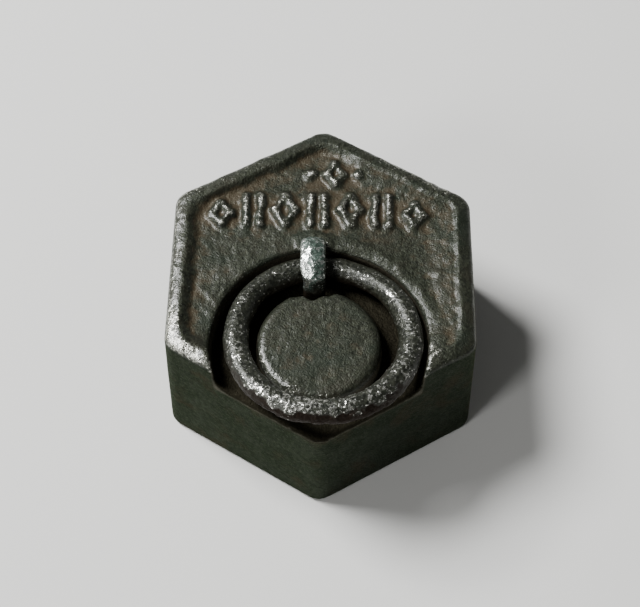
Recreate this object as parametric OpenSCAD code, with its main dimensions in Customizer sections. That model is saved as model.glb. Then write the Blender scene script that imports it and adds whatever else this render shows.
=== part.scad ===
// Hexagonal cast-iron scale weight with a loose lifting ring.
// Origin: centre of the base on the surface it stands on. +Z is up.
// One corner of the hexagon points to -Y, where the ring lies in its groove.

/* [Casting] */
// Radius of the base hexagon, centre to corner
base_r = 14.75; // [14.2:0.05:15.5]
// Radius of the top hexagon, centre to corner
top_r = 13.7; // [13.4:0.05:14.1]
// Height from the base to the top of the rim
body_h = 13.5; // [13.2:0.05:14]
// How far the worn corners stop short of the sharp hexagon
corner_wear = 0.2; // [0.1:0.05:0.5]

/* [Rim and field] */
// Width of the flat top of the rim
rim_w = 1.1; // [0.8:0.05:1.4]
// Width of the slope from the rim down to the field
rim_slope_w = 0.7; // [0.3:0.05:1]
// Depth of the field below the rim
field_depth = 0.55; // [0.4:0.05:0.6]

/* [Ring groove] */
// X of the centre of the groove and its disc
groove_x = -0.1; // [-0.2:0.05:0]
// Y of the centre of the groove and its disc
groove_y = -6.5; // [-6.6:0.05:-6.45]
// Radius of the disc that the groove leaves standing
disc_r = 4.9; // [4.7:0.05:5.1]
// Radius of the groove's outer wall
groove_r = 8.4; // [8.35:0.05:8.5]
// Depth of the groove's floor below the rim
groove_depth = 2.5; // [2.5:0.05:2.8]
// Bevel along the groove's outer edge
groove_bevel = 0.35; // [0.1:0.05:0.4]
// Bevel round the top of the disc
disc_bevel = 0.25; // [0.1:0.05:0.4]

/* [Relief] */
// Height of the raised figures above the field
relief_h = 0.42; // [0.2:0.02:0.5]
// Width of one raised stroke
stroke_w = 0.76; // [0.6:0.02:0.8]
// Number of figures in the row
row_count = 7; // [3:2:7]
// Distance from one figure to the next
row_pitch = 2.64; // [2.5:0.02:2.7]
// Height of the row's figures, measured along Y
row_h = 3.5; // [3:0.1:3.6]
// Height of the figures at the two ends of the row, next to the rim
end_h = 2.7; // [2.4:0.1:3]
// Y of the middle of the row
row_y = 5.75; // [5.6:0.05:5.9]
// X of the middle of the row
row_x = -0.4; // [-0.5:0.02:0]
// Width of a lozenge in the row
lozenge_w = 2.3; // [2:0.05:2.4]
// Distance between the middles of a pair of bars
bar_gap = 1.15; // [1.05:0.05:1.2]
// X of the middle of the crest, which stands above the row
crest_x = 1; // [0.8:0.05:1.2]
// Y of the middle of the crest
crest_y = 9.35; // [9.2:0.05:9.4]
// Height of the crest's lozenge
crest_h = 2.6; // [2:0.1:2.7]
// Width of the crest's lozenge
crest_w = 1.9; // [1.7:0.05:2]
// Diameter of the pip on each side of it
pip_d = 1; // [0.8:0.05:1.1]
// Distance from the crest's middle to the middle of a pip
pip_reach = 1.9; // [1.7:0.05:2]

/* [Lifting ring] */
// Radius of the ring's centreline
ring_r = 6.8; // [6.75:0.01:6.85]
// Radius of the ring's wire
wire_r = 0.96; // [0.9:0.01:0.97]
// How far the front of the ring stands up from level, in degrees
ring_tilt = 8; // [4:1:12]
// X of the ring's centre
ring_x = 0.2; // [0:0.05:0.25]

/* [Staple] */
// X of the middle of the strap
staple_x = -0.7; // [-0.9:0.05:-0.5]
// Width of the strap, along X
strap_w = 2.12; // [1.8:0.02:2.4]
// Thickness of the strap
strap_t = 0.75; // [0.6:0.05:0.8]
// Radius inside the bend, which the ring's wire runs in
eye_r = 1.58; // [1.5:0.02:1.6]
// Y of the centre of the bend
eye_y = 0.67; // [0.6:0.01:0.7]
// Height of the centre of the bend
eye_z = 12.5; // [12.45:0.05:12.6]

/* [Lead plug] */
// Radius of the cavity's mouth, in the base
cavity_mouth_r = 4.3; // [4.2:0.1:5]
// Radius of the cavity's roof, wider so that it keys the lead
cavity_roof_r = 4.9; // [4.8:0.1:5.6]
// Depth of the cavity
cavity_h = 4.5; // [4:0.1:5.5]
// How far the lead stops short of the base
lead_recess = 0.5; // [0.2:0.1:1]

/* [Hidden] */

// A cut runs this far past the surface that it opens
past = 1;
// The groove's bevels run this far above the field, so that they cut its face cleanly
bevel_over = 0.05;
// The casting is a hexagon, and each side takes up twice this angle
sides = 6;
half_side = 180 / sides;

// Distance from the axis to a flat of the base, the top and the field
base_a = base_r * cos(half_side);
top_a = top_r * cos(half_side);
field_a = top_a - rim_w - rim_slope_w;
field_z = body_h - field_depth;
groove_z = body_h - groove_depth;

// The ring swings about an axis along X, this far behind and above the centre of the bend
hinge_back = 0.18;
hinge_up = 0.05;
// At rest its wire lies this far in front of and below that axis, clear of the groove's floor
wire_front = 0.12;
wire_drop = 0.5;
wire_y = eye_y + hinge_back - wire_front;
wire_z = eye_z + hinge_up - wire_drop;

eye_outer_r = eye_r + strap_t;

// The figures reach a little into the field, so that they are one casting
relief_root = 0.1;
figure_h = relief_root + relief_h;

// The legs go down to this height, where feet of this length turn out by this angle
foot_z = 3;
foot_l = 2;
foot_splay = 40;
leg_l = eye_z - foot_z;
// Room between the front leg and the disc's notch
leg_room = 0.3;

iron = [0.24, 0.23, 0.21];
forged_iron = [0.33, 0.31, 0.28];
worn_iron = [0.48, 0.46, 0.43];
lead = [0.42, 0.43, 0.45];

// Six-sided block whose flats stand low_a from the axis below and high_a above
module hex_frustum(low_a, high_a, h) {
    widest = max(low_a, high_a) + past;
    lean = atan((low_a - high_a) / h);
    difference() {
        rotate(half_side) cylinder(r = widest / cos(half_side), h = h, $fn = sides);
        for (side = [0 : sides - 1])
            rotate(side * 360 / sides)
                translate([low_a, 0, 0])
                    rotate([0, -lean, 0])
                        translate([0, -widest, -past])
                            cube([2 * widest, 2 * widest, h + 3 * past]);
    }
}

// The block with its corners worn back to a cone
module casting_block() {
    intersection() {
        hex_frustum(base_a, top_a, body_h);
        cylinder(r1 = base_r - corner_wear, r2 = top_r - corner_wear, h = body_h, $fn = 96);
    }
}

// The shallow field inside the rim, opening upwards
module field_cut() {
    over = field_depth + past;
    slope = rim_slope_w / field_depth;
    translate([0, 0, field_z]) hex_frustum(field_a, field_a + slope * over, over);
}

// The ring's groove, which leaves the disc standing and runs out through the front corner
module groove_cut() {
    top = body_h + past;
    outer = groove_r + groove_bevel + bevel_over;
    inner = disc_r - disc_bevel - bevel_over;
    translate([groove_x, groove_y, 0])
        rotate_extrude($fn = 96)
            polygon([
                [disc_r, groove_z],
                [groove_r, groove_z],
                [groove_r, field_z - groove_bevel],
                [outer, field_z + bevel_over],
                [outer, top],
                [inner, top],
                [inner, field_z + bevel_over],
                [disc_r, field_z - disc_bevel]
            ]);
}

// Room in the disc's edge for the staple's front leg
module disc_notch() {
    front = eye_y - eye_outer_r - leg_room;
    translate([staple_x - strap_w / 2 - leg_room, front, groove_z])
        cube([strap_w + 2 * leg_room, eye_y - front, body_h]);
}

// Undercut hole that the lead is poured into, up from height low_z
module cavity_cone(low_z) {
    grow = (cavity_roof_r - cavity_mouth_r) / cavity_h;
    translate([0, 0, low_z])
        cylinder(
            r1 = cavity_mouth_r + grow * low_z,
            r2 = cavity_roof_r,
            h = cavity_h - low_z,
            $fn = 64
        );
}

// One raised stroke with round ends, from point a to point b
module stroke(a, b) {
    run = b - a;
    translate([a[0], a[1], 0]) {
        cylinder(d = stroke_w, h = figure_h, $fn = 24);
        rotate(atan2(run[1], run[0]))
            translate([0, -stroke_w / 2, 0])
                cube([norm(run), stroke_w, figure_h]);
    }
    translate([b[0], b[1], 0]) cylinder(d = stroke_w, h = figure_h, $fn = 24);
}

// Outline of a lozenge, w wide and h high over its strokes
module lozenge(w, h) {
    half_w = (w - stroke_w) / 2;
    half_h = (h - stroke_w) / 2;
    for (sx = [-1, 1], sy = [-1, 1])
        stroke([sx * half_w, 0], [0, sy * half_h]);
}

// Two upright bars side by side
module bar_pair(gap, h) {
    half_h = (h - stroke_w) / 2;
    for (sx = [-1, 1])
        stroke([sx * gap / 2, -half_h], [sx * gap / 2, half_h]);
}

// The row of lozenges and bars, level along its foot and lower at its two ends
module row() {
    last = row_count - 1;
    for (i = [0 : last]) {
        high = i == 0 || i == last ? end_h : row_h;
        x = row_x + (i - last / 2) * row_pitch;
        y = row_y - (row_h - high) / 2;
        translate([x, y, 0])
            if (i % 2 == 0) lozenge(lozenge_w, high);
            else bar_pair(bar_gap, high);
    }
}

// The crest above the row: a small lozenge between two pips
module crest() {
    translate([crest_x, crest_y, 0]) {
        lozenge(crest_w, crest_h);
        for (sx = [-1, 1])
            translate([sx * pip_reach, 0, 0])
                cylinder(d = pip_d, h = figure_h, $fn = 32);
    }
}

// The strap: a bend over the ring's wire and two legs with feet clinched in the lead
module strap() {
    across = strap_w + 2 * past;
    translate([staple_x, eye_y, eye_z]) {
        difference() {
            union() {
                rotate([0, 90, 0])
                    cylinder(r = eye_outer_r, h = strap_w, center = true, $fn = 64);
                translate([-strap_w / 2, -eye_outer_r, -leg_l])
                    cube([strap_w, 2 * eye_outer_r, leg_l]);
            }
            rotate([0, 90, 0])
                cylinder(r = eye_r, h = across, center = true, $fn = 64);
            translate([-across / 2, -eye_r, -leg_l - past])
                cube([across, 2 * eye_r, leg_l + past]);
        }
        for (turn = [0, 180]) rotate(turn) strap_foot();
    }
}

// One foot, turned outwards at the end of its leg
module strap_foot() {
    translate([0, eye_r + strap_t / 2, strap_t / 2 - leg_l])
        rotate([foot_splay, 0, 0])
            translate([-strap_w / 2, -strap_t / 2, -foot_l])
                cube([strap_w, strap_t, foot_l]);
}

// Cast-iron body
module weight_body() {
    color(iron) difference() {
        union() {
            difference() {
                casting_block();
                union() {
                    field_cut();
                    groove_cut();
                }
                disc_notch();
            }
            translate([0, 0, field_z - relief_root]) {
                row();
                crest();
            }
        }
        cavity_cone(-past);
        strap();
    }
}

// Iron strap bent over the ring and fixed through the casting
module staple() {
    color(worn_iron) strap();
}

// Lead poured round the feet of the staple, which also sets the weight
module lead_plug() {
    color(lead) difference() {
        cavity_cone(lead_recess);
        strap();
    }
}

// Forged ring, resting a little raised at the front
module ring() {
    color(forged_iron)
        translate([ring_x, wire_y, wire_z])
            rotate([-ring_tilt, 0, 0])
                translate([0, -ring_r, 0])
                    rotate_extrude($fn = 96)
                        translate([ring_r, 0]) circle(r = wire_r, $fn = 32);
}

weight_body();
staple();
lead_plug();
ring();
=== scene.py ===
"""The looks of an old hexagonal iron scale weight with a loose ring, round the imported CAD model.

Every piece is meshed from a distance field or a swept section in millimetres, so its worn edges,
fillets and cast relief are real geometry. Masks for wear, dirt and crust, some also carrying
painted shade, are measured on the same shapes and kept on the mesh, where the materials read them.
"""

import math

import bpy
import numpy as np
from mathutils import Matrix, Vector, noise


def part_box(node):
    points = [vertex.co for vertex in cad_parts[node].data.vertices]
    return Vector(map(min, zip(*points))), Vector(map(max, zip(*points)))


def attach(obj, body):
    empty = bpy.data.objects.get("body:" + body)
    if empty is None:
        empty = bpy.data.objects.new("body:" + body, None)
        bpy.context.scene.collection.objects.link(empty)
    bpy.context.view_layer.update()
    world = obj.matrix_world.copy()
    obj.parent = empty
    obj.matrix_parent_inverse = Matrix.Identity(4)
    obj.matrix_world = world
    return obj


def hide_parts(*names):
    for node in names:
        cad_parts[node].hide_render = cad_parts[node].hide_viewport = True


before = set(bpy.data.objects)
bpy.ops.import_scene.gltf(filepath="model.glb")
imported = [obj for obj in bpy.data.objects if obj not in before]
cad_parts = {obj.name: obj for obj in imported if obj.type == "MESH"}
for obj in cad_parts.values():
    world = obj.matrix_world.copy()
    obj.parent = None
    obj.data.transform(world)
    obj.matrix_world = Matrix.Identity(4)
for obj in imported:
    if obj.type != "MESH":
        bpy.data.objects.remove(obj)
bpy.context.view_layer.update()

MM = 0.001
HALF_SIDE = math.radians(30)


def node_box_mm(node):
    """Lowest and highest corner of a CAD node, in millimetres."""
    lo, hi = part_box(node)
    return np.array(lo) / MM, np.array(hi) / MM


# ---- Sizes, in millimetres, from the frame ----

BODY_LO, BODY_HI = node_box_mm("weight_body")
RING_LO, RING_HI = node_box_mm("ring")
STAPLE_LO, STAPLE_HI = node_box_mm("staple")
PLUG_LO, PLUG_HI = node_box_mm("lead_plug")

# The hexagon, by its apothem. Its sides lean in a little less than the CAD's, because the rim is
# rounded over. CAD_TOP_R is the corner radius of the CAD's top, the unit of the camera's place.
BASE_A = BODY_HI[0]
BODY_H = BODY_HI[2]
SIDE_LEAN, CAD_LEAN = 0.62, 0.91
TOP_A = BASE_A - SIDE_LEAN
CAD_TOP_R = (BASE_A - CAD_LEAN) / math.cos(HALF_SIDE)
PLAN_ROUND, CORNER_ROUND = 0.9, 0.85

# The top: a rim round a sunk field, and a round groove with a disc in it.
FIELD_Z = BODY_H - 0.55
GROOVE_Z = BODY_H - 2.5
GROOVE_X, GROOVE_Y = -0.1, -6.5
DISC_R, GROOVE_R = 4.9, 8.4
RIM_CREST, RIM_INNER, RIM_OUTER_DROP = 1.25, 2.2, 0.3

# The staple: a strap bent round an eye, with two splayed feet.
STRAP_X = (STAPLE_LO[0] + STAPLE_HI[0]) / 2
STRAP_W = STAPLE_HI[0] - STAPLE_LO[0]
STRAP_T = 0.75
EYE_R = 1.58
EYE_Y = (STAPLE_LO[1] + STAPLE_HI[1]) / 2
EYE_Z = STAPLE_HI[2] - EYE_R - STRAP_T
LEG_Z = 3.0
FOOT_L = 2.0
FOOT_SPLAY = math.radians(40)

# The ring lies tilted, with its front up.
WIRE_R = 0.96
RING_X = (RING_LO[0] + RING_HI[0]) / 2
RING_R = (RING_HI[0] - RING_LO[0]) / 2 - WIRE_R
RING_TILT = math.asin((RING_HI[2] - RING_LO[2] - 2 * WIRE_R) / (2 * RING_R))
RING_Y = (RING_LO[1] + RING_HI[1]) / 2
RING_Z = (RING_LO[2] + RING_HI[2]) / 2

# The cavity in the base, undercut, and the lead in it.
PLUG_ROOF_R = PLUG_HI[0]
PLUG_ROOF_Z = PLUG_HI[2]
PLUG_LOW_Z = PLUG_LO[2]
CAVITY_MOUTH_R = 4.3
CAVITY_GROW = (PLUG_ROOF_R - CAVITY_MOUTH_R) / PLUG_ROOF_Z


# ---- Distance fields. Each takes x, y and z in millimetres and is negative inside ----


def smooth_max(a, b, k):
    """The larger of two fields, with the edge between them rounded over a width k."""
    h = np.maximum(k - np.abs(a - b), 0.0) / k
    return np.maximum(a, b) + h * h * (k / 4)


def smooth_min(a, b, k):
    """The smaller of two fields, with the corner between them filled over a width k."""
    return -smooth_max(-a, -b, k)


def step(value, low, high):
    """0 at low, 1 at high and smooth between."""
    t = np.clip((value - low) / (high - low), 0, 1)
    return t * t * (3 - 2 * t)


def bell(value, middle, width):
    """1 at the middle, falling smoothly to 0 over about twice the width."""
    return np.exp(-(((value - middle) / width) ** 2))


def ripple(x, y, size, seed):
    """Smooth pseudo-random swells of about that size in millimetres, from -1 to 1."""
    draw = np.random.default_rng(seed)
    total = np.zeros_like(x)
    for _ in range(7):
        angle, phase = draw.uniform(0, 2 * math.pi, 2)
        pull = 2 * math.pi / (size * draw.uniform(0.7, 1.5))
        total += np.sin(pull * (x * math.cos(angle) + y * math.sin(angle)) + phase)
    return total / 4


def hex_field(x, y, z, low_a, high_a, z0, z1, k):
    """Six leaning planes round the Z axis, low_a away from it at z0 and high_a at z1."""
    lean = (low_a - high_a) / (z1 - z0)
    apothem = low_a - lean * (z - z0)
    across = math.cos(math.atan(lean))
    planes = []
    for side in range(6):
        angle = 2 * HALF_SIDE * side
        planes.append((x * math.cos(angle) + y * math.sin(angle) - apothem) * across)
    field = planes[0]
    for plane in planes[1:]:
        field = smooth_max(field, plane, k)
    return field


def segment_field(u, v, a, b):
    """Distance from the segment a-b in a plane."""
    ab = (b[0] - a[0], b[1] - a[1])
    t = ((u - a[0]) * ab[0] + (v - a[1]) * ab[1]) / (ab[0] ** 2 + ab[1] ** 2)
    t = np.clip(t, 0, 1)
    return np.hypot(u - a[0] - t * ab[0], v - a[1] - t * ab[1])


def strap_path_field(y, z):
    """Distance from the middle of the strap's thickness, in the YZ plane."""
    far = 1e3
    mid = EYE_R + STRAP_T / 2
    u, v = np.abs(y - EYE_Y), z - EYE_Z
    bend = np.where(v >= 0, np.abs(np.hypot(u, v) - mid), far)
    knee = LEG_Z + STRAP_T / 2 - EYE_Z
    foot = (mid + FOOT_L * math.sin(FOOT_SPLAY), knee - FOOT_L * math.cos(FOOT_SPLAY))
    leg = segment_field(u, v, (mid, 0.0), (mid, knee))
    return np.minimum(np.minimum(bend, leg), segment_field(u, v, (mid, knee), foot))


def strap_crown(u):
    """How much thinner the strap is at u, from -1 to 1 across it, than in the middle."""
    edge_loss = 0.62
    return edge_loss * (1 - np.sqrt(1 - np.clip(np.abs(u), 0, 1) ** 2))


def strap_field(x, y, z, grow=0.0, k=0.2):
    """The bent strap, crowned outside its bend. A negative grow makes it cut a tight slot."""
    crown = strap_crown((x - STRAP_X) / (STRAP_W / 2))
    outer = np.hypot(y - EYE_Y, np.maximum(z - EYE_Z, 0)) > EYE_R + STRAP_T / 2
    thick = strap_path_field(y, z) - STRAP_T / 2 + np.where(outer, crown, 0) - grow
    wide = np.abs(x - STRAP_X) - STRAP_W / 2 - grow
    return smooth_max(thick, wide, k)


def relief_strokes():
    """The strokes of the raised figures: two ends and a width for each."""
    stroke, pitch, count = 0.76, 2.64, 7
    row_x, row_y, row_h, end_h = -0.4, 5.75, 3.5, 2.7
    lozenge_w, bar_gap = 2.3, 1.15
    crest_x, crest_y, crest_w, crest_h = 1.0, 9.35, 1.9, 2.6
    pip_d, pip_reach, pip_half = 1.0, 1.9, 0.01
    strokes = []

    def lozenge(cx, cy, w, h):
        half_w, half_h = (w - stroke) / 2, (h - stroke) / 2
        for sx in (-1, 1):
            for sy in (-1, 1):
                strokes.append(((cx + sx * half_w, cy), (cx, cy + sy * half_h), stroke))

    def bar_pair(cx, cy, gap, h):
        half_h = (h - stroke) / 2
        for sx in (-1, 1):
            bar_x = cx + sx * gap / 2
            strokes.append(((bar_x, cy - half_h), (bar_x, cy + half_h), stroke))

    for i in range(count):
        high = end_h if i in (0, count - 1) else row_h
        cx = row_x + (i - (count - 1) / 2) * pitch
        cy = row_y - (row_h - high) / 2
        if i % 2 == 0:
            lozenge(cx, cy, lozenge_w, high)
        else:
            bar_pair(cx, cy, bar_gap, high)
    lozenge(crest_x, crest_y, crest_w, crest_h)
    for sx in (-1, 1):
        pip_x = crest_x + sx * pip_reach
        strokes.append(((pip_x - pip_half, crest_y), (pip_x + pip_half, crest_y), pip_d))
    return strokes


def relief_height(x, y):
    """Height of the worn raised figures above the field."""
    web, wander = 0.3, 0.1
    tall, uneven = 0.47, 0.09
    slope_out, slope_in = -0.34, 0.36
    across = None
    for a, b, width in relief_strokes():
        one = segment_field(x, y, a, b) - width / 2
        across = one if across is None else smooth_min(across, one, web)
    across = across + wander * ripple(x, y, size=1.3, seed=3)
    worn = tall + uneven * ripple(x, y, size=1.8, seed=4)
    return worn * step(-across, slope_out, slope_in)


def plan_field(x, y):
    """The rim's outline, seen from above: negative inside."""
    return hex_field(x, y, BODY_H, BASE_A, TOP_A, 0.0, BODY_H, PLAN_ROUND)


def top_height(x, y):
    """Height of the casting's upper face: beaded rim, sunk field, relief and the groove's lip.

    On the left the rim drops steeply to the field. On the right it is worn to a long slope.
    """
    inward = 0.1 * ripple(x, y, size=4.0, seed=1) + 0.05 * ripple(x, y, size=1.4, seed=2)
    inward = inward - plan_field(x, y)
    right = step(x, -1.0, 4.0)
    outer_slope = np.clip(1 - inward / RIM_CREST, 0, 1.2)
    rim = BODY_H - RIM_OUTER_DROP * outer_slope ** (2 - 0.6 * right)
    rim = rim + 0.04 * ripple(x, y, size=2.2, seed=5)

    first_drop, long_drop = 0.28, 0.72
    sharp_edge = step(inward, RIM_CREST - 0.1, RIM_INNER)
    worn_edge = first_drop * step(inward, RIM_CREST - 0.15, RIM_CREST + 0.3)
    worn_edge = worn_edge + long_drop * step(inward, RIM_CREST - 0.1, RIM_CREST + 3.0)
    sink = sharp_edge + (worn_edge - sharp_edge) * right
    height = rim + (FIELD_Z - rim) * sink
    height = height + 0.05 * ripple(x, y, size=3.0, seed=6) * sink
    height = height + 0.03 * ripple(x, y, size=1.1, seed=7) * sink

    lip_out, lip_w, lip_h = 0.95, 0.62, 0.17
    from_ring = np.hypot(x - GROOVE_X, y - GROOVE_Y) - GROOVE_R
    lip = bell(from_ring, lip_out, lip_w) * step(x + 0.4 * y, 0.5, 4.0)
    height = height + lip_h * lip * (0.75 + 0.35 * ripple(x, y, size=2.4, seed=8)) * sink

    relief_blend, relief_sink = 0.25, 0.02
    relief = FIELD_Z + relief_height(x, y)
    return np.where(y > 0, smooth_max(height, relief, relief_blend) - relief_sink, height)


def body_field(x, y, z):
    """The iron casting."""
    top_edge, base_edge = 0.45, 0.5
    outside = hex_field(x, y, z, BASE_A, TOP_A, 0.0, BODY_H, CORNER_ROUND)
    height = top_height(x[:, :, 0].astype(np.float64), y[:, :, 0].astype(np.float64))
    slope = np.hypot(*np.gradient(height, x[1, 0, 0] - x[0, 0, 0]))
    above = ((z - height[:, :, None]) / np.sqrt(1 + slope**2)[:, :, None]).astype(np.float32)
    block = smooth_max(smooth_max(outside, above, top_edge), -z, base_edge)

    # Iron thrown up round the staple's back leg, added before the groove is cut.
    skirt_r, skirt_h, skirt_depth = 1.0, 0.07, 1.0
    back_leg_y = EYE_Y + EYE_R + STRAP_T / 2
    around_leg = np.hypot((x - STRAP_X) * 0.75, y - back_leg_y)
    skirt = smooth_max(around_leg - skirt_r, z - FIELD_Z - skirt_h, 0.3)
    skirt = smooth_max(skirt, FIELD_Z - skirt_depth - z, 0.1)
    block = smooth_min(block, skirt, 0.5)

    # The groove, cut with room for the ring to swing.
    room_out, room_down, floor_fillet, mouth_edge = 0.06, 0.08, 1.1, 0.45
    rho = np.hypot(x - GROOVE_X, y - GROOVE_Y)
    well = smooth_max(rho - GROOVE_R - room_out, GROOVE_Z - room_down - z, floor_fillet)
    block = smooth_max(block, -well, mouth_edge)

    # The disc, with a scalloped notch for the staple's front leg.
    disc_grow, disc_edge, disc_fillet = 0.04, 0.85, 0.7
    notch_r, notch_edge = 0.84, 0.45
    disc_top = FIELD_Z + 0.03 * ripple(x[:, :, 0], y[:, :, 0], size=2.6, seed=9)[:, :, None]
    disc = smooth_max(rho - DISC_R - disc_grow, z - disc_top, disc_edge)
    notch_y = EYE_Y - EYE_R - STRAP_T + 0.15
    scallop = 0.12 * np.cos(4.2 * (x - STRAP_X))
    notch = np.hypot((x - STRAP_X) * 0.62, y - notch_y) - notch_r - scallop
    disc = smooth_max(disc, -notch, notch_edge)
    disc = smooth_max(disc, GROOVE_Z - 1 - z, 0.1)
    block = smooth_min(block, disc, disc_fillet)

    cavity_edge, slot_grip = 0.3, -0.04
    mouth = np.hypot(x, y) - CAVITY_MOUTH_R - CAVITY_GROW * z
    cavity = smooth_max(mouth, z - PLUG_ROOF_Z, cavity_edge)
    block = smooth_max(block, -cavity, cavity_edge)
    return np.maximum(block, -strap_field(x, y, z, grow=slot_grip))


def facet_field(x, y, z):
    """Height above two flats, one over the other, rubbed on the strap's left front shoulder."""
    side, ahead, up = STRAP_X - x, EYE_Y - y, z - EYE_Z
    upper = 0.4 * side + 0.36 * ahead + 0.84 * up - 2.17
    lower = 0.38 * side + 0.58 * ahead + 0.72 * up - 2.22
    return np.maximum(upper, lower)


def staple_field(x, y, z):
    """The strap: squared shoulders, narrower in front, dented, with a flat along its left side."""
    rise = np.maximum(z - EYE_Z, 0)
    away = np.hypot(y - EYE_Y, rise)
    bend = np.arctan2(rise, EYE_Y - y)
    square = 2.7
    shoulder = np.abs(np.cos(bend)) ** square + np.abs(np.sin(bend)) ** square
    outer_r = (EYE_R + STRAP_T) * shoulder ** (-1 / square)

    front_loss, flat_slope, flat_from = 0.14, 0.4, -0.25
    narrow = front_loss * (1 - step(bend, 0.3, 1.2))
    u = (x - STRAP_X - narrow) / (STRAP_W / 2 - narrow)
    flat = flat_slope * np.maximum(flat_from - u, 0) * (1 - step(bend, 1.8, 2.4))
    dent = 0.06 + 0.04 * np.cos(5 * bend + 2 * u) + 0.03 * np.cos(9 * bend - 3 * u)
    shown = step(z, FIELD_Z - 0.5, FIELD_Z + 0.3)
    skin = np.maximum(strap_crown(u) * (1 - 0.15 * shown), flat) + dent * shown

    side_edge, facet_edge = 0.2, 0.08
    arch = np.maximum(EYE_R - away, away - outer_r + skin)
    below = strap_path_field(y, z) - STRAP_T / 2
    leg_skin = np.where(np.abs(y - EYE_Y) > EYE_R + STRAP_T / 2, skin, 0)
    thick = np.where(z > EYE_Z, arch, below + leg_skin)
    strap = smooth_max(thick, (np.abs(u) - 1) * (STRAP_W / 2 - narrow), side_edge)
    return smooth_max(strap, facet_field(x, y, z), facet_edge)


def plug_field(x, y, z):
    """Lead poured round the staple's feet, with a sunk skin."""
    sunk, sunk_r, roof_edge, skin_edge = 0.3, 2.4, 0.2, 0.5
    rho = np.hypot(x, y)
    side = rho - CAVITY_MOUTH_R - CAVITY_GROW * z
    skin = PLUG_LOW_Z + sunk * bell(rho, 0, sunk_r) - z
    lead = smooth_max(smooth_max(side, z - PLUG_ROOF_Z, roof_edge), skin, skin_edge)
    return np.maximum(lead, -strap_field(x, y, z))


# ---- Meshing ----


def grid(lo, hi, cell):
    """Open grid axes that run past the box by three cells."""
    margin = 3 * cell
    axes = [np.arange(a - margin, b + margin, cell, dtype=np.float32) for a, b in zip(lo, hi)]
    return axes, np.meshgrid(*axes, indexing="ij", copy=False)


def surface_net(values, origin, cell):
    """Vertices and quads of the surface where values cross zero, one vertex per crossed cell."""
    inside = values < 0
    shape = np.array(values.shape) - 1
    total = np.zeros((*shape, 3), np.float32)
    count = np.zeros(shape, np.float32)
    crossings = []
    for axis in range(3):
        near = [slice(None)] * 3
        far = [slice(None)] * 3
        near[axis], far[axis] = slice(None, -1), slice(1, None)
        near, far = tuple(near), tuple(far)
        found = np.argwhere(inside[near] != inside[far])
        a = values[near][tuple(found.T)]
        b = values[far][tuple(found.T)]
        point = found.astype(np.float32)
        point[:, axis] += a / (a - b)
        others = [i for i in range(3) if i != axis]
        keep = (found[:, others] > 0).all(1) & (found[:, others] < shape[others]).all(1)
        found, point = found[keep], point[keep]
        leaves = inside[near][tuple(found.T)]
        crossings.append((axis, found, leaves))
        for d0 in (0, 1):
            for d1 in (0, 1):
                at = found.copy()
                at[:, others[0]] -= d0
                at[:, others[1]] -= d1
                np.add.at(total, tuple(at.T), point)
                np.add.at(count, tuple(at.T), 1)
    used = count > 0
    number = np.full(shape, -1, np.int64)
    number[used] = np.arange(used.sum())
    vertices = np.asarray(origin) + cell * total[used] / count[used][:, None]
    quads = []
    for axis, found, leaves in crossings:
        others = [i for i in range(3) if i != axis]
        ring = []
        for d0, d1 in ((0, 0), (1, 0), (1, 1), (0, 1)):
            at = found.copy()
            at[:, others[0]] -= d0
            at[:, others[1]] -= d1
            ring.append(number[tuple(at.T)])
        quad = np.stack(ring, 1)
        turn = leaves if axis != 1 else ~leaves
        quad[~turn] = quad[~turn][:, ::-1]
        quads.append(quad)
    return vertices, np.concatenate(quads)


def box_blur(a, reach):
    """A running mean over 2 * reach + 1 cells along each axis."""
    for axis in range(3):
        pad = [(0, 0)] * 3
        pad[axis] = (reach + 1, reach)
        run = np.cumsum(np.pad(a, pad, mode="edge"), axis=axis, dtype=np.float64)
        size = 2 * reach + 1
        low = [slice(None)] * 3
        high = [slice(None)] * 3
        low[axis], high[axis] = slice(0, a.shape[axis]), slice(size, size + a.shape[axis])
        a = ((run[tuple(high)] - run[tuple(low)]) / size).astype(np.float32)
    return a


def sample(volume, points, origin, cell):
    """Trilinear values of a grid at points."""
    p = (points - np.asarray(origin)) / cell
    i = np.clip(np.floor(p).astype(int), 0, np.array(volume.shape) - 2)
    f = p - i
    out = np.zeros(len(points))
    for dx in (0, 1):
        for dy in (0, 1):
            for dz in (0, 1):
                weight = (
                    (f[:, 0] if dx else 1 - f[:, 0])
                    * (f[:, 1] if dy else 1 - f[:, 1])
                    * (f[:, 2] if dz else 1 - f[:, 2])
                )
                out += weight * volume[i[:, 0] + dx, i[:, 1] + dy, i[:, 2] + dz]
    return out


def measured_bulge(values, points, origin, cell, reach_mm):
    """How convex the surface is at each point: above 0 on edges, below 0 in corners and pits."""
    solid = np.clip(0.5 - values / cell, 0, 1)
    reach = max(1, round(reach_mm / cell / 2))
    for _ in range(2):
        solid = box_blur(solid, reach)
    return 1 - 2 * sample(solid, points, origin, cell)


def make_mesh(name, vertices, quads, masks):
    """A smooth-shaded mesh object, from millimetres, with one point attribute per mask."""
    mesh = bpy.data.meshes.new(name)
    mesh.vertices.add(len(vertices))
    mesh.vertices.foreach_set("co", (vertices * MM).astype(np.float32).ravel())
    mesh.loops.add(quads.size)
    mesh.loops.foreach_set("vertex_index", quads.astype(np.int32).ravel())
    mesh.polygons.add(len(quads))
    mesh.polygons.foreach_set("loop_start", np.arange(0, quads.size, 4, dtype=np.int32))
    mesh.update(calc_edges=True)
    mesh.shade_smooth()
    for mask, values in masks.items():
        attribute = mesh.attributes.new(mask, "FLOAT", "POINT")
        attribute.data.foreach_set("value", np.asarray(values, np.float32))
    obj = bpy.data.objects.new(name, mesh)
    bpy.context.scene.collection.objects.link(obj)
    return obj


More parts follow.
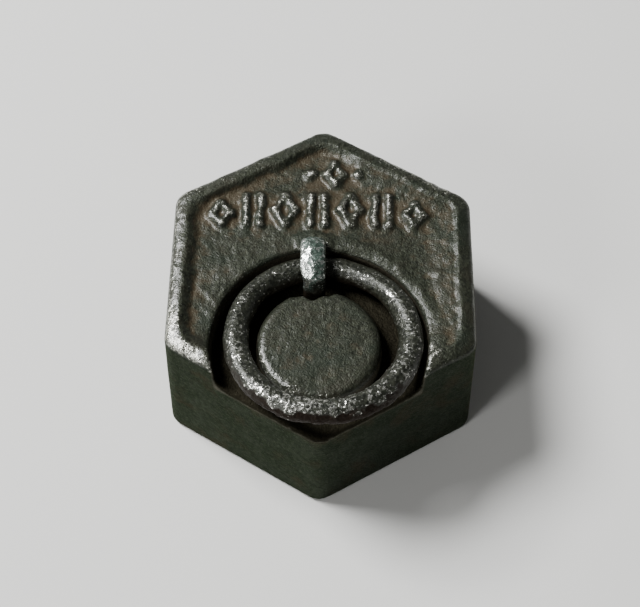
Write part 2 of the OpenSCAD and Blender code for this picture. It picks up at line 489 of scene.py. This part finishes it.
def normals(vertices, quads):
    """Area-weighted vertex normals."""
    p = vertices[quads]
    face = np.cross(p[:, 2] - p[:, 0], p[:, 3] - p[:, 1])
    total = np.zeros_like(vertices)
    for corner in range(4):
        np.add.at(total, quads[:, corner], face)
    return total / np.maximum(np.linalg.norm(total, axis=1), 1e-12)[:, None]


def solid_piece(name, field, box, cell, roughen, reaches):
    """Meshes a field and roughens its surface. Reaches gives each bulge mask and its width."""
    axes, (x, y, z) = grid(*box, cell)
    values = field(x, y, z)
    origin = [axis[0] for axis in axes]
    vertices, quads = surface_net(values, origin, cell)
    masks = {}
    for mask, reach in reaches.items():
        masks[mask] = measured_bulge(values, vertices, origin, cell, reach)
    facing = normals(vertices, quads)
    vertices = vertices + facing * roughen(vertices, facing, masks)[:, None]
    return make_mesh(name, vertices, quads, masks)


# ---- Skins. Each gives the push outwards at each point, in millimetres, and adds wear masks ----


def waves(points, size, octaves, shift):
    """Fractal noise of that feature size in millimetres, about -1 to 1."""
    at = points / size + shift
    return np.array([noise.fractal(Vector(p), 1.0, 2.0, octaves) for p in at])


def pits(points, size, depth, shift, keep):
    """Scattered round pits of that spacing and depth; keep is the share that show."""
    pit_r, roundness, cluster = 0.42, 1.5, 2.5
    out = np.zeros(len(points))
    for i, p in enumerate(points / size + shift):
        near, _ = noise.voronoi(Vector(p))
        out[i] = near[0]
    at = points / (size * cluster) + shift * 3.1
    rare = np.array([noise.noise(Vector(p)) for p in at])
    bowl = np.clip(1 - out / pit_r, 0, 1) ** roundness
    return depth * bowl * (rare > 1 - 2 * keep)


def handled_casting(x, y):
    """How much hands have rubbed the casting: most on the rim's left, least on its right."""
    inward = -plan_field(x, y)
    rho = np.hypot(x - GROOVE_X, y - GROOVE_Y)

    # All along the rim, more on the left and on the back right.
    left = step(-x, 0, 9)
    front_left = left * step(-y, 2, 6)
    back_right = step(x, 2, 6) * step(y, 2, 6)
    on_rim = 1 - step(inward, 0.6, RIM_CREST)
    rubbed = 0.1 + 0.6 * left * (1 - 0.6 * front_left) + 0.7 * back_right

    # The rim's crest near the front left corner, and its end beside the groove on the right.
    crest = step(inward, -0.1, 0.25) * (1 - step(inward, 0.8, RIM_CREST + 0.1))
    corner = front_left * crest * step(rho - GROOVE_R, 0.3, 1.3)
    end_x, end_y, end_r = 8.7, -7.2, 0.9
    right_end = bell(np.hypot(x - end_x, y - end_y), 0, end_r)
    outer_right = step(x, 10.5, 11.0)

    # The disc's edge at the front left, and the tops of the relief.
    edge_in = step(rho, DISC_R - 1.1, DISC_R - 0.6)
    disc_edge = edge_in * (1 - step(rho, DISC_R - 0.15, DISC_R + 0.1))
    worn_disc = disc_edge * step(GROOVE_X - x + 1.3 * (GROOVE_Y - y), 2.5, 5.5)
    raised = step(relief_height(x, y), 0.1, 0.3) * (y > 0)

    handled = on_rim * rubbed + 1.35 * corner + 0.6 * raised
    handled += 0.55 * worn_disc
    return handled + (1.3 * right_end - 0.5 * outer_right)


def casting_skin(points, facing, masks):
    """Sand-cast skin: shallow swells, fine grain and scattered pits, smoother on the sides."""
    x, y, z = points.T
    edge_bulge, side_calm, right_calm = 0.12, 0.55, 0.7
    upright = (1 - np.abs(facing[:, 2])) * (masks["bulge"] < edge_bulge)
    rough = 1 - side_calm * step(upright, 0.5, 0.9)
    rough = rough * (1 - right_calm * step(x, 10.7, 11.2))
    push = 0.02 * waves(points, size=4.5, octaves=1, shift=7.3)
    push += 0.03 * waves(points, size=0.5, octaves=2, shift=2.1) * rough
    push -= pits(points, size=0.7, depth=0.07, shift=5.7, keep=0.3) * rough

    masks["handled"] = handled_casting(x, y)
    rho = np.hypot(x - GROOVE_X, y - GROOVE_Y)
    in_groove = 1 - step(rho, GROOVE_R + 0.15, GROOVE_R + 0.4)
    masks["groove"] = in_groove * step(z, GROOVE_Z - 0.6, GROOVE_Z - 0.3)

    inset, calm_base = 0.03, 0.6
    return (push - inset) * np.clip(z / calm_base, 0, 1)


def forged_skin(points, facing, masks):
    """Worn skin of the strap. Adds masks of its rubbed left flat and of its front's crust and
    painted shade.

    The angle bend is 0 at the strap's front and grows over the top; u is -1 to 1 across it.
    """
    bend = np.arctan2(np.maximum(points[:, 2] - EYE_Z, 0), EYE_Y - points[:, 1])
    u = (points[:, 0] - STRAP_X) / (STRAP_W / 2)
    ragged = 0.35 * waves(points, size=0.5, octaves=3, shift=6.6)
    on_flat = step(facet_field(*points.T) + 0.6 * ragged, -0.13, -0.05)
    reach = 0.1 - 0.5 * step(bend, 0.7, 1.3)
    on_flat = on_flat * step(reach - u + 0.5 * ragged, 0, 0.15)
    on_side = step(-0.3 - u + 1.3 * ragged, 0.0, 0.16)
    on_side = on_side * step(1.9 - bend, 0, 0.3) * step(bend, 0.0, 0.3)
    masks["handled"] = np.maximum(on_flat, on_side)

    # Crust low on the strap's front right; its mask also paints shade there.
    crust_and_shade = step(0.55 + 0.25 * u - bend + 0.5 * ragged, 0.0, 0.3)
    crust_and_shade = crust_and_shade * step(points[:, 2], EYE_Z - 1, EYE_Z)
    masks["crust_and_shade"] = 0.6 * crust_and_shade * step(u, -0.4, 0.3)

    inset = 0.02
    push = 0.02 * waves(points, size=1.2, octaves=2, shift=3.3) - inset
    push = push - pits(points, size=0.7, depth=0.05, shift=1.9, keep=0.3)
    lumps = 0.12 * waves(points, size=0.5, octaves=3, shift=8.8)
    lumps = lumps - pits(points, size=0.5, depth=0.14, shift=4.9, keep=0.6)
    return push + 1.5 * masks["crust_and_shade"] * lumps


def lead_skin(points, facing, masks):
    """Poured lead: soft wrinkles and a few punch marks on the exposed skin."""
    inset = 0.03
    exposed = np.clip(-facing[:, 2], 0, 1)
    push = exposed * (0.06 * waves(points, size=1.8, octaves=3, shift=4.4) - inset)
    return push - exposed * pits(points, size=1.5, depth=0.16, shift=8.2, keep=0.25)


def ring_skin(points, facing):
    """Hammered, pitted skin of the ring, with crust and painted shade low in front. Returns push
    and masks.
    """
    ahead = np.clip(-points[:, 1] / RING_R, 0, 1)
    fine = 0.03 * waves(points, size=0.45, octaves=3, shift=9.4) * (0.6 + 0.5 * ahead)
    rough = 0.04 * waves(points, size=1.6, octaves=2, shift=6.1) + fine
    rough -= pits(points, size=0.6, depth=0.08, shift=3.3, keep=0.4) * (0.3 + 0.5 * ahead)

    ragged = waves(points, size=0.9, octaves=3, shift=5.2)
    # Front of the wire facing away from above: flaked, and its mask paints crust and shade there.
    flaked_and_shaded = ahead * step(0.7 - facing[:, 2] + 0.35 * ragged, 0.0, 0.2)
    lost = flaked_and_shaded * pits(points, size=0.4, depth=0.09, shift=6.8, keep=0.6)
    rough -= 0.07 * flaked_and_shaded * step(ragged, -0.1, 0.15) + lost

    joint_turn, joint_w, joint_depth = 0.1, 0.09, 0.12
    joint = np.abs(np.arctan2(points[:, 0], points[:, 1]) + joint_turn) * RING_R
    rough -= joint_depth * bell(joint, 0, joint_w)

    deepest, highest = -0.3, 0.07
    masks = {"bulge": rough * 2.5, "handled": 0.32 * ahead, "crust_and_shade": flaked_and_shaded}
    return np.clip(rough, deepest, highest), masks


def ring_mesh(name):
    """The ring, swept round with an uneven section, with its butt joint under the staple.

    It is made flat round the origin, with t round the ring and s round its wire, then tilted.
    """
    around, section = 760, 84
    grow_r, grow_wire, forward = 0.06, 0.02, 0.04
    turn = np.linspace(0, 2 * math.pi, around, endpoint=False)
    spin = np.linspace(0, 2 * math.pi, section, endpoint=False)
    t, s = np.meshgrid(turn, spin, indexing="ij")
    flat = 0.05 * np.cos(2 * t + 0.9) + 0.04 * np.cos(3 * t + 2.0) + 0.02 * np.cos(7 * t)
    squash = 0.03 * np.cos(2 * s + 3 * t) + 0.02 * np.cos(3 * s - 2 * t)
    big = RING_R + grow_r + flat
    small = WIRE_R + grow_wire + squash + 0.02 * np.cos(5 * t + 1) + 0.015 * np.cos(11 * t)
    out = big + small * np.cos(s)
    x, y, z = out * np.sin(t), out * np.cos(t), small * np.sin(s)
    points = np.stack([x, y, z], -1).reshape(-1, 3)

    index = np.arange(around * section).reshape(around, section)
    after, over = np.roll(index, -1, 0), np.roll(index, -1, 1)
    both = np.roll(after, -1, 1)
    quads = np.stack([index, over, both, after], -1).reshape(-1, 4)
    facing = normals(points, quads)
    push, masks = ring_skin(points, facing)
    x, y, z = (points + facing * push[:, None]).T

    c, sn = math.cos(RING_TILT), math.sin(RING_TILT)
    placed_y = y * c + z * sn + RING_Y - forward
    placed = np.stack([x + RING_X, placed_y, z * c - y * sn + RING_Z], 1)
    return make_mesh(name, placed, quads, masks)


# ---- Materials ----


class Shader:
    """A node tree with short calls to add and link nodes."""

    def __init__(self, name):
        self.material = bpy.data.materials.new(name)
        self.material.use_nodes = True
        self.tree = self.material.node_tree
        self.surface = self.tree.nodes["Principled BSDF"]
        coordinates = self.tree.nodes.new("ShaderNodeTexCoord")
        self.place = coordinates.outputs["Object"]

    def link(self, source, target):
        """Links an output socket to an input socket."""
        self.tree.links.new(source, target)

    def put(self, socket, value):
        """Sets a socket to a plain value or links it to another socket."""
        if isinstance(value, bpy.types.NodeSocket):
            self.link(value, socket)
        else:
            socket.default_value = value

    def set(self, name, value):
        """Sets or links an input of the surface."""
        self.put(self.surface.inputs[name], value)

    def noise(self, size_mm, detail=4.0, rough=0.6, twist=0.0):
        """Noise whose largest features are about size_mm across, from 0 to 1."""
        node = self.tree.nodes.new("ShaderNodeTexNoise")
        node.inputs["Scale"].default_value = 1 / (size_mm * MM)
        node.inputs["Detail"].default_value = detail
        node.inputs["Roughness"].default_value = rough
        node.inputs["Distortion"].default_value = twist
        self.link(self.place, node.inputs["Vector"])
        return node.outputs["Fac"]

    def mask(self, name):
        """The value of one of the mesh's point attributes."""
        node = self.tree.nodes.new("ShaderNodeAttribute")
        node.attribute_name = name
        return node.outputs["Fac"]

    def part(self, vector, axis):
        """One component of a vector."""
        node = self.tree.nodes.new("ShaderNodeSeparateXYZ")
        self.link(vector, node.inputs[0])
        return node.outputs[axis]

    def math(self, operation, a, b):
        """One arithmetic node. Either side is a number or a socket."""
        node = self.tree.nodes.new("ShaderNodeMath")
        node.operation = operation
        self.put(node.inputs[0], a)
        self.put(node.inputs[1], b)
        return node.outputs[0]

    def add(self, a, b):
        return self.math("ADD", a, b)

    def less(self, a, b):
        """a minus b."""
        return self.math("SUBTRACT", a, b)

    def times(self, a, b):
        return self.math("MULTIPLY", a, b)

    def most(self, a, b):
        """The larger of a and b."""
        return self.math("MAXIMUM", a, b)

    def away_from(self, value, middle):
        """How far a value is from the middle, always positive."""
        return self.math("ABSOLUTE", self.less(value, middle), 0.0)

    def span(self, value, low, high, out_low=0.0, out_high=1.0):
        """Maps low..high to out_low..out_high, smoothly and clamped."""
        node = self.tree.nodes.new("ShaderNodeMapRange")
        node.interpolation_type = "SMOOTHSTEP"
        for name, number in (
            ("From Min", low),
            ("From Max", high),
            ("To Min", out_low),
            ("To Max", out_high),
        ):
            node.inputs[name].default_value = number
        self.put(node.inputs["Value"], value)
        return node.outputs["Result"]

    def mix(self, share, a, b):
        """Colour a turning to colour b."""
        node = self.tree.nodes.new("ShaderNodeMix")
        node.data_type = "RGBA"
        self.put(node.inputs["Factor"], share)
        self.put(node.inputs[6], a)
        self.put(node.inputs[7], b)
        return node.outputs[2]

    def bump(self, height, distance_mm, strength=1.0, under=None):
        """A normal bent by a height map, on top of the normal under it if one is given."""
        node = self.tree.nodes.new("ShaderNodeBump")
        node.inputs["Strength"].default_value = strength
        node.inputs["Distance"].default_value = distance_mm * MM
        self.link(height, node.inputs["Height"])
        if under is not None:
            self.link(under, node.inputs["Normal"])
        return node.outputs["Normal"]


# The colours of the casting, linear RGBA.
TOP_DARK, TOP_LIGHT = (0.005, 0.0058, 0.0036, 1), (0.0215, 0.024, 0.0155, 1)
TOP_BROWN, TOP_GREEN = (0.0175, 0.0155, 0.0105, 1), (0.008, 0.012, 0.008, 1)
# GROOVE_SHADE is painted shade, near black, for the floor of the groove.
RUST, GROOVE_SHADE = (0.042, 0.029, 0.016, 1), (0.016, 0.014, 0.009, 1)
# The sides' dark colours carry a green tint, a painted reflection of a green surround.
SIDE_DARK, SIDE_LIGHT = (0.0165, 0.0215, 0.0155, 1), (0.0275, 0.033, 0.0255, 1)
SIDE_GRAIN, SIDE_STAIN = (0.046, 0.05, 0.042, 1), (0.036, 0.028, 0.02, 1)
WALL_DIRT = (0.045, 0.039, 0.027, 1)
# GREEN_REFLECTION_TINT tints every reflection green, a painted reflection of a green surround.
BARE_IRON, GREEN_REFLECTION_TINT = (0.34, 0.34, 0.3, 1), (0.55, 0.6, 0.48, 1)


def cast_iron():
    """Dark waxed casting: grey grain, rust, worn bright edges, painted shade in the groove,
    near-black sides.
    """
    s = Shader("cast_iron")
    grain = s.noise(0.26, detail=3, rough=0.7)
    patches = s.noise(2.2, detail=4, rough=0.6, twist=0.4)
    bulge, wide, handled = s.mask("bulge"), s.mask("bulge_wide"), s.mask("handled")
    geometry = s.tree.nodes.new("ShaderNodeNewGeometry")
    upward = s.span(s.part(geometry.outputs["Normal"], "Z"), 0.15, 0.6)
    height = s.part(s.place, "Z")
    open_top = s.span(height, (GROOVE_Z + 1.0) * MM, (FIELD_Z - 0.2) * MM)
    shown = s.times(upward, open_top)

    top = s.mix(s.span(grain, 0.36, 0.64), TOP_DARK, TOP_LIGHT)
    top = s.mix(s.span(patches, 0.45, 0.7, 0, 0.8), top, TOP_BROWN)
    green = s.noise(3.1, detail=3, rough=0.5, twist=0.3)
    top = s.mix(s.span(green, 0.5, 0.68, 0, 0.7), top, TOP_GREEN)
    rust_spread = s.less(s.times(s.noise(0.9, detail=5, rough=0.65), 0.6), wide)
    top = s.mix(s.span(rust_spread, 0.3, 0.5, 0.0, 0.85), top, RUST)
    # Below the field, the groove's floor is painted with near-black shade.
    top = s.mix(open_top, GROOVE_SHADE, top)

    # Sides: dark iron, with the green tint of a painted reflection.
    side = s.mix(s.span(patches, 0.35, 0.7), SIDE_DARK, SIDE_LIGHT)
    side = s.mix(s.span(grain, 0.5, 0.66, 0, 0.75), side, SIDE_GRAIN)
    stain = s.noise(3.4, detail=4, rough=0.6, twist=0.5)
    side = s.mix(s.span(stain, 0.5, 0.68, 0, 0.6), side, SIDE_STAIN)
    groove = s.times(s.mask("groove"), s.less(1.0, upward))
    side = s.mix(groove, side, WALL_DIRT)
    colour = s.mix(upward, side, top)

    rub = s.add(bulge, s.times(s.noise(0.24, detail=3, rough=0.7), 1.6))
    rub = s.add(rub, s.times(handled, 0.3))
    worn = s.times(s.span(rub, 1.18, 1.34), shown)
    s.set("Base Color", s.mix(worn, colour, BARE_IRON))

    open_air = s.most(shown, groove)
    s.set("Metallic", s.most(s.span(open_air, 0, 1, 0.9, 0.2), worn))
    rough = s.span(s.noise(0.4, detail=3, rough=0.7), 0.3, 0.7, 0.42, 0.6)
    rough = s.add(rough, s.span(shown, 0, 1, 0.15, 0))
    s.set("Roughness", s.less(rough, s.times(worn, 0.2)))
    # A green tint on all reflections, a painted reflection of a green surround.
    s.set("Specular Tint", GREEN_REFLECTION_TINT)
    s.set("Coat Weight", s.times(shown, s.span(handled, 0.1, 0.9, 0.3, 0.9)))
    s.set("Coat Roughness", 0.24)

    relief = s.span(upward, 0, 1, 0.8, 1)
    fine = s.times(s.noise(0.15, detail=2, rough=0.6), relief)
    lumps = s.times(s.noise(0.32, detail=3, rough=0.7), relief)
    s.set("Normal", s.bump(lumps, 0.075, strength=0.9, under=s.bump(fine, 0.07)))
    s.set("Coat Normal", s.bump(fine, 0.03))
    return s.material


class IronLook:
    """The colours of one forged piece, the rub at which it starts to shine and its coat of wax."""

    def __init__(self, dark, light, shine, rubbed, wax):
        self.dark, self.light, self.shine = (*dark, 1), (*light, 1), (*shine, 1)
        self.rubbed, self.wax = rubbed, wax


RING_LOOK = IronLook(
    dark=(0.008, 0.0095, 0.0062),
    light=(0.034, 0.037, 0.026),
    shine=(0.7, 0.7, 0.65),
    rubbed=1.05,
    wax=0.12,
)
# The staple's green tint is partly patina and partly a painted reflection of a green surround.
STAPLE_LOOK = IronLook(
    dark=(0.015, 0.025, 0.019),
    light=(0.058, 0.09, 0.072),
    shine=(0.66, 0.7, 0.66),
    rubbed=1.06,
    wax=0.35,
)
# CRUST_AND_SHADE is rust crust and painted shade on the lower front.
# LOW_DIRT_AND_SHADE is dirt and painted shade low down by the casting.
CRUST_AND_SHADE, LOW_DIRT_AND_SHADE = (0.018, 0.0125, 0.009, 1), (0.024, 0.018, 0.012, 1)


def forged_iron(name, look):
    """Handled wrought iron: dark hollows, fine bright curls where it is rubbed, dirt and painted
    shade low down.
    """
    s = Shader(name)
    grain = s.noise(0.3, detail=3, rough=0.7)
    bulge, handled, crust_and_shade = s.mask("bulge"), s.mask("handled"), s.mask("crust_and_shade")
    # Low down by the casting the iron takes dirt and painted shade.
    clear_of_dirt_and_shade = s.span(s.part(s.place, "Z"), (EYE_Z - 0.7) * MM, (EYE_Z + 0.5) * MM)
    colour = s.mix(s.span(grain, 0.34, 0.66), look.dark, look.light)
    # Crust, which on the front's down-facing side is also painted shade.
    colour = s.mix(crust_and_shade, colour, CRUST_AND_SHADE)

    curl = s.away_from(s.noise(0.5, detail=2, rough=0.5, twist=1.6), 0.5)
    where = s.span(s.noise(0.9, detail=3, rough=0.6), 0.42, 0.58)
    curls = s.times(s.span(curl, 0.05, 0.015), where)
    rub = s.add(bulge, s.times(s.noise(0.27, detail=2, rough=0.6), 1.65))
    rub = s.add(rub, s.times(curls, 0.2))
    rub = s.add(rub, s.times(handled, 0.5))
    rub = s.less(rub, s.times(crust_and_shade, 0.25))
    worn = s.times(s.span(rub, look.rubbed, look.rubbed + 0.19), clear_of_dirt_and_shade)
    colour = s.mix(worn, colour, look.shine)
    s.set("Base Color", s.mix(clear_of_dirt_and_shade, LOW_DIRT_AND_SHADE, colour))

    s.set("Metallic", s.most(s.span(worn, 0, 1, 0.3, 0.95), s.times(crust_and_shade, 0.9)))
    rough = s.add(s.span(grain, 0.3, 0.7, 0.32, 0.46), s.times(crust_and_shade, 0.3))
    s.set("Roughness", s.less(rough, s.times(worn, 0.16)))
    s.set("Coat Weight", s.times(clear_of_dirt_and_shade, s.span(crust_and_shade, 0, 1, look.wax, 0)))
    s.set("Coat Roughness", 0.22)

    fine = s.bump(s.noise(0.2, detail=2, rough=0.5), 0.06)
    lumps = s.noise(0.42, detail=2, rough=0.55)
    s.set("Normal", s.bump(lumps, 0.09, strength=0.9, under=fine))
    s.set("Coat Normal", s.bump(s.noise(0.15, detail=2, rough=0.6), 0.02))
    return s.material


def old_lead():
    """Dull oxidised lead with brighter rubbed spots."""
    dull, rubbed = (0.09, 0.095, 0.1, 1), (0.24, 0.245, 0.25, 1)
    s = Shader("old_lead")
    patches = s.noise(1.4, detail=5, rough=0.6, twist=0.3)
    s.set("Base Color", s.mix(s.span(patches, 0.3, 0.7), dull, rubbed))
    s.set("Metallic", 0.8)
    s.set("Roughness", s.span(patches, 0.3, 0.7, 0.62, 0.45))
    s.set("Normal", s.bump(s.noise(0.5, detail=4, rough=0.6), 0.06, strength=0.6))
    return s.material


# ---- Pieces ----

EDGE_REACH, HOLLOW_REACH = 0.5, 1.6


def dress(piece, material, body, node):
    """Gives a piece its material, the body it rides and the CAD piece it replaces."""
    piece.data.materials.append(material)
    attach(piece, body)
    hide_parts(node)


def build_pieces():
    """Makes the four pieces of the weight, each meshed in cells of its own size."""
    edges = {"bulge": EDGE_REACH}
    edges_and_hollows = {"bulge": EDGE_REACH, "bulge_wide": HOLLOW_REACH}
    body_box, staple_box, plug_box = (BODY_LO, BODY_HI), (STAPLE_LO, STAPLE_HI), (PLUG_LO, PLUG_HI)

    body = solid_piece("iron_body", body_field, body_box, 0.11, casting_skin, edges_and_hollows)
    dress(body, cast_iron(), "weight", "weight_body")
    strap = solid_piece("iron_staple", staple_field, staple_box, 0.07, forged_skin, edges)
    dress(strap, forged_iron("staple_iron", STAPLE_LOOK), "weight", "staple")
    plug = solid_piece("poured_lead", plug_field, plug_box, 0.12, lead_skin, {})
    dress(plug, old_lead(), "weight", "lead_plug")
    ring = ring_mesh("forged_ring")
    dress(ring, forged_iron("ring_iron", RING_LOOK), "ring", "ring")


# ---- Stage ----


def make_floor():
    """A plain pale floor that curves up all round, and glows softly far from the lamps."""
    flat, edge, rise, segments = 0.5, 1.2, 0.27, 64
    radii = np.concatenate([[0.05], np.linspace(0.15, edge, 22)])
    turn = np.linspace(0, 2 * math.pi, segments, endpoint=False)
    points = [(0.0, 0.0, 0.0)]
    for radius in radii:
        height = rise * (max(radius - flat, 0) / (edge - flat)) ** 2
        points += [(radius * math.cos(t), radius * math.sin(t), height) for t in turn]
    faces = [(0, 1 + i, 1 + (i + 1) % segments) for i in range(segments)]
    for band in range(len(radii) - 1):
        first = 1 + band * segments
        for i in range(segments):
            j = (i + 1) % segments
            faces.append((first + i, first + segments + i, first + segments + j, first + j))
    mesh = bpy.data.meshes.new("floor")
    mesh.from_pydata(points, [], faces)
    mesh.shade_smooth()
    floor = bpy.data.objects.new("floor", mesh)
    bpy.context.scene.collection.objects.link(floor)

    glow_from, glow_to, glow = 0.12, 0.75, 0.45
    s = Shader("pale_floor")
    s.set("Base Color", (0.72, 0.72, 0.7, 1))
    s.set("Roughness", 0.9)
    away = s.tree.nodes.new("ShaderNodeVectorMath")
    away.operation = "LENGTH"
    s.link(s.place, away.inputs[0])
    s.set("Emission Color", (1, 1, 0.98, 1))
    s.set("Emission Strength", s.span(away.outputs["Value"], glow_from, glow_to, 0, glow))
    floor.data.materials.append(s.material)


def aim(obj, target):
    """Turns a lamp or camera so that it looks at the target."""
    obj.rotation_euler = (Vector(target) - obj.location).to_track_quat("-Z", "Y").to_euler()


def soft_lamp(name, place, size, power):
    """A round area lamp, in metres and watts, that looks at the top of the weight."""
    lamp = bpy.data.lights.new(name, "AREA")
    lamp.shape = "DISK"
    lamp.size = size
    lamp.energy = power
    obj = bpy.data.objects.new(name, lamp)
    obj.location = place
    bpy.context.scene.collection.objects.link(obj)
    aim(obj, (0, 0, BODY_H * MM))


def make_lights():
    """A key lamp from the back left, a weak fill from the front left and a faint even sky."""
    soft_lamp("key", (-0.27, 0.13, 0.4), size=0.2, power=5.2)
    soft_lamp("fill", (-0.34, -0.3, 0.3), size=0.14, power=1.1)
    world = bpy.data.worlds.new("studio")
    world.use_nodes = True
    background = world.node_tree.nodes["Background"]
    background.inputs["Color"].default_value = (1, 1, 0.98, 1)
    background.inputs["Strength"].default_value = 0.075
    bpy.context.scene.world = world


def make_camera():
    """The photograph's view, from the front corner's side, fitted in radii of the CAD's top."""
    azimuth, elevation = math.radians(0.93), math.radians(60.2)
    target_x, target_y, distance = -0.014, 0.323, 8.567
    top_r = CAD_TOP_R * MM
    target = Vector((target_x * top_r, target_y * top_r, 0))
    back = Vector(
        (
            math.sin(azimuth) * math.cos(elevation),
            -math.cos(azimuth) * math.cos(elevation),
            math.sin(elevation),
        )
    )
    data = bpy.data.cameras.new("camera")
    data.sensor_width = 36
    data.lens = 73
    data.clip_start = 0.005
    data.clip_end = 20
    camera = bpy.data.objects.new("camera", data)
    camera.location = target + back * distance * top_r
    bpy.context.scene.collection.objects.link(camera)
    aim(camera, target)
    bpy.context.scene.camera = camera


make_camera()
make_floor()
make_lights()
build_pieces()
